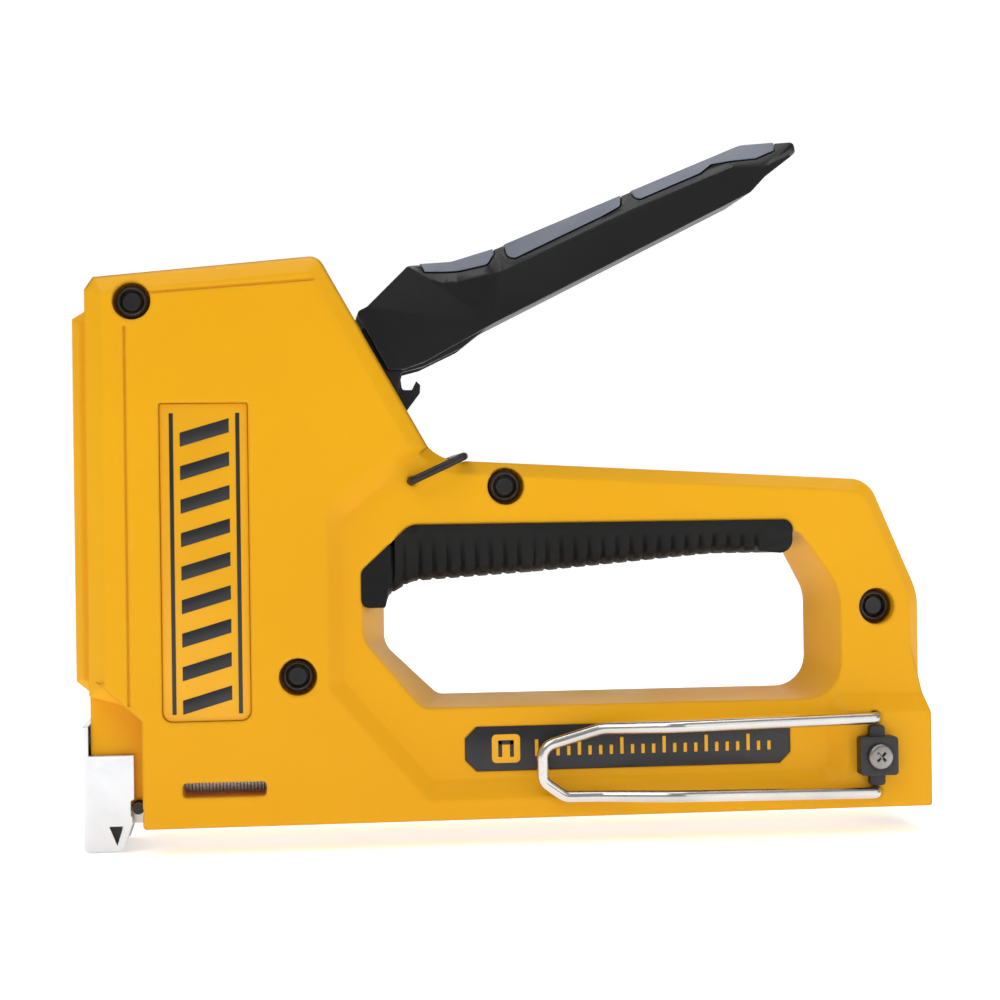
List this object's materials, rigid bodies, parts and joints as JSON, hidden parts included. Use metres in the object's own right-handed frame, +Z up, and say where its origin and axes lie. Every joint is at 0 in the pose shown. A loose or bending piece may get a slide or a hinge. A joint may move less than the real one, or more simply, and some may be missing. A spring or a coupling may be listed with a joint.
{
  "type": "staple gun",
  "caption": "Hand staple gun with a tall head, a loop handle with a ribbed finger grip, a raised squeeze lever, a wire lock bail, a folded nose plate and a wire belt hook.",
  "frame": {"origin": "middle of the nose plate's lower edge, which is pressed on the work", "axes": "+X to the rear along the base, +Z up from the work, +Y to the tool's right side"},
  "size_m": [0.1751, 0.0398, 0.1445],
  "materials": {
    "body_paint": "satin",
    "grip_rubber": "matte",
    "badge": "satin",
    "label_film": "matte",
    "bright_plate": "polished",
    "dark_steel": "blackened",
    "zinc_steel": "zinc plated",
    "wire_steel": "bright drawn wire",
    "lever_plastic": "satin",
    "pad_rubber": "matte",
    "spring_steel": "oiled",
    "cap_plastic": "matte",
    "staple_wire": "galvanised",
    "follower_plastic": "matte"
  },
  "bodies": {
    "body": {"shell_left": "body_paint", "shell_right": "body_paint", "finger_grip": "grip_rubber", "badge_left": "badge", "badge_right": "badge", "label_left": "label_film", "label_right": "label_film", "nose_plate": "bright_plate", "nose_guide": "dark_steel", "nose_pins": "dark_steel", "shell_screws": "dark_steel", "lever_pin": "zinc_steel", "main_spring": "spring_steel", "spring_cap": "zinc_steel", "guide_frame": "zinc_steel", "striker_bumper": "grip_rubber", "magazine_channel": "zinc_steel", "staple_strip": "staple_wire", "pusher_spring": "spring_steel", "belt_hook": "wire_steel", "hook_retainer": "cap_plastic", "hook_screw": "zinc_steel"},
    "lever": {"lever_cover": "lever_plastic", "lever_core": "dark_steel", "lever_rivets": "zinc_steel", "lift_arm": "zinc_steel", "lock_hook": "dark_steel", "lever_return_spring": "spring_steel", "lever_pad_neck": "pad_rubber", "lever_pad_middle": "pad_rubber", "lever_pad_tip": "pad_rubber"},
    "striker": {"striker_block": "zinc_steel", "driver_blade": "zinc_steel", "blade_rivets": "zinc_steel"},
    "magazine": {"magazine_rail": "zinc_steel", "guide_rod": "wire_steel", "magazine_cap": "cap_plastic"},
    "follower": {"follower": "follower_plastic"},
    "lock_bail": {"lock_bail": "dark_steel"}
  },
  "joints": [
    {"name": "lever_squeeze", "type": "hinge", "parent": "body", "child": "lever", "pos_m": [0.0505, 0, 0.0819], "axis": [0, 1, 0], "range_deg": [0, 31], "stiffness_Nm_per_rad": 0.6, "springref_deg": -28.65},
    {"name": "striker_lift", "type": "slide", "parent": "body", "child": "striker", "axis": [0, 0, 1], "range_m": [0, 0.01871], "deforming": ["main_spring"]},
    {"name": "bail_swing", "type": "hinge", "parent": "body", "child": "lock_bail", "pos_m": [0.066, 0, 0.0739], "axis": [0, 1, 0], "range_deg": [-43, 0]},
    {"name": "magazine_slide", "type": "slide", "parent": "body", "child": "magazine", "axis": [1, 0, 0], "range_m": [0, 0.11]},
    {"name": "follower_slide", "type": "slide", "parent": "magazine", "child": "follower", "axis": [1, 0, 0], "range_m": [0, 0.08], "stiffness_N_per_m": 20, "springref_m": -0.15, "deforming": ["pusher_spring"]}
  ],
  "couplings": [
    {"joint": "striker_lift", "follows": "lever_squeeze", "m_per_rad": 0.034575}
  ]
}
